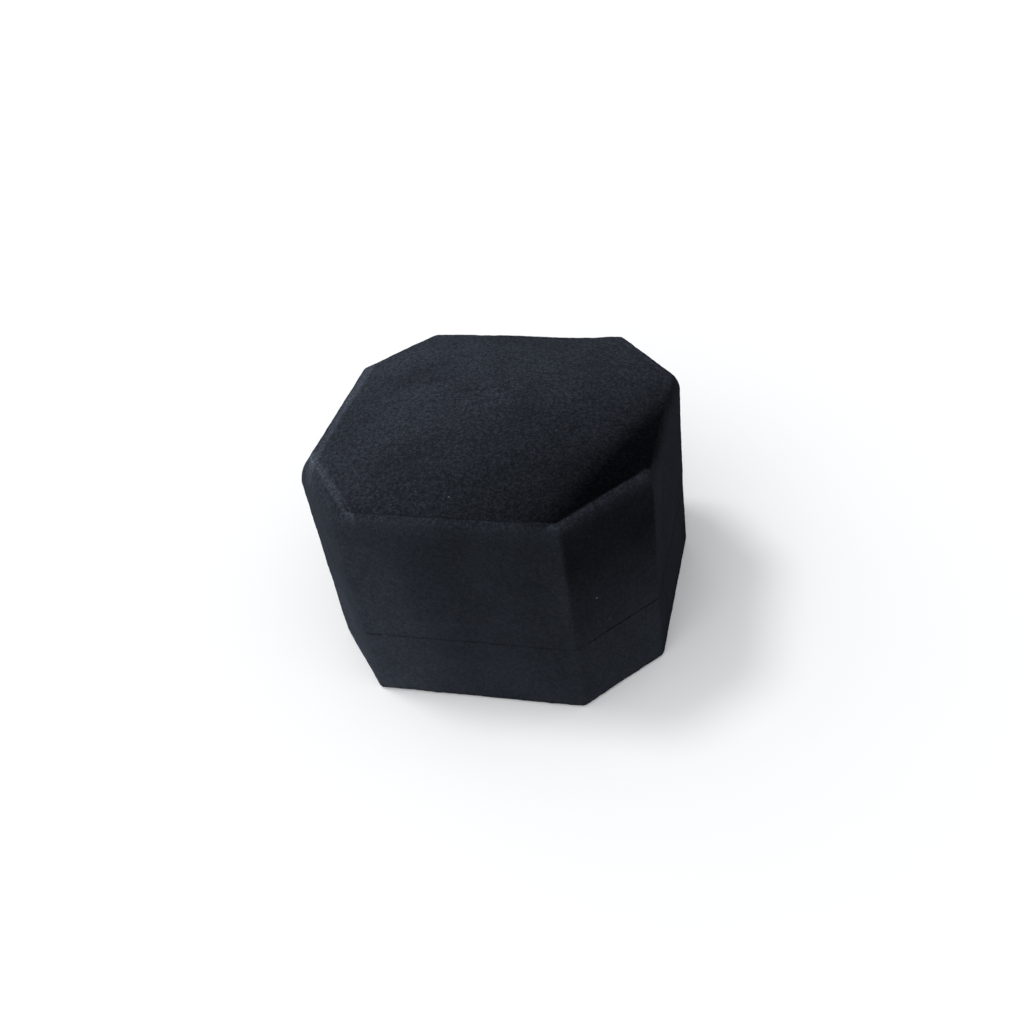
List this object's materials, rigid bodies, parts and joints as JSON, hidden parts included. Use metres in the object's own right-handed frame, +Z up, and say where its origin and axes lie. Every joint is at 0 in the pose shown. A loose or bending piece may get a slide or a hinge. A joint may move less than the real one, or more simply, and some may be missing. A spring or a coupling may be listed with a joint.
{
  "type": "ring box",
  "caption": "Small octagonal velvet ring box with a padded lift-off lid, a raised locating collar and a slotted ring cushion.",
  "frame": {"origin": "middle of the underside of the base, on the table", "axes": "+Z up, +X along the wide side, +Y to the rear; the ring slot runs along X"},
  "size_m": [0.055, 0.0534, 0.0392],
  "materials": {
    "velvet": "short pile velvet, charcoal black with a slight blue cast",
    "lining": "short velvet lining, charcoal",
    "shell": "moulded, matte",
    "card": "grey board",
    "foam": "soft sponge, dark grey"
  },
  "bodies": {
    "base": {"base_foot": "velvet", "base_shell": "shell", "base_wall_velvet": "velvet", "cushion_board": "card", "collar_core": "card", "collar_velvet": "velvet", "cushion_foam_front": "foam", "cushion_foam_back": "foam", "cushion_velvet_front": "velvet", "cushion_velvet_back": "velvet", "slot_strip": "velvet"},
    "lid": {"lid_shell": "shell", "lid_wall_velvet": "velvet", "lid_rim_welt": "velvet", "lid_top_foam": "foam", "lid_top_velvet": "velvet", "lid_lining": "lining", "lid_ceiling_card": "card", "lid_ceiling_pad": "lining"}
  },
  "joints": [
    {"name": "lid_lift", "type": "slide", "parent": "base", "child": "lid", "axis": [0, 0, 1], "range_m": [0, 0.03]}
  ]
}
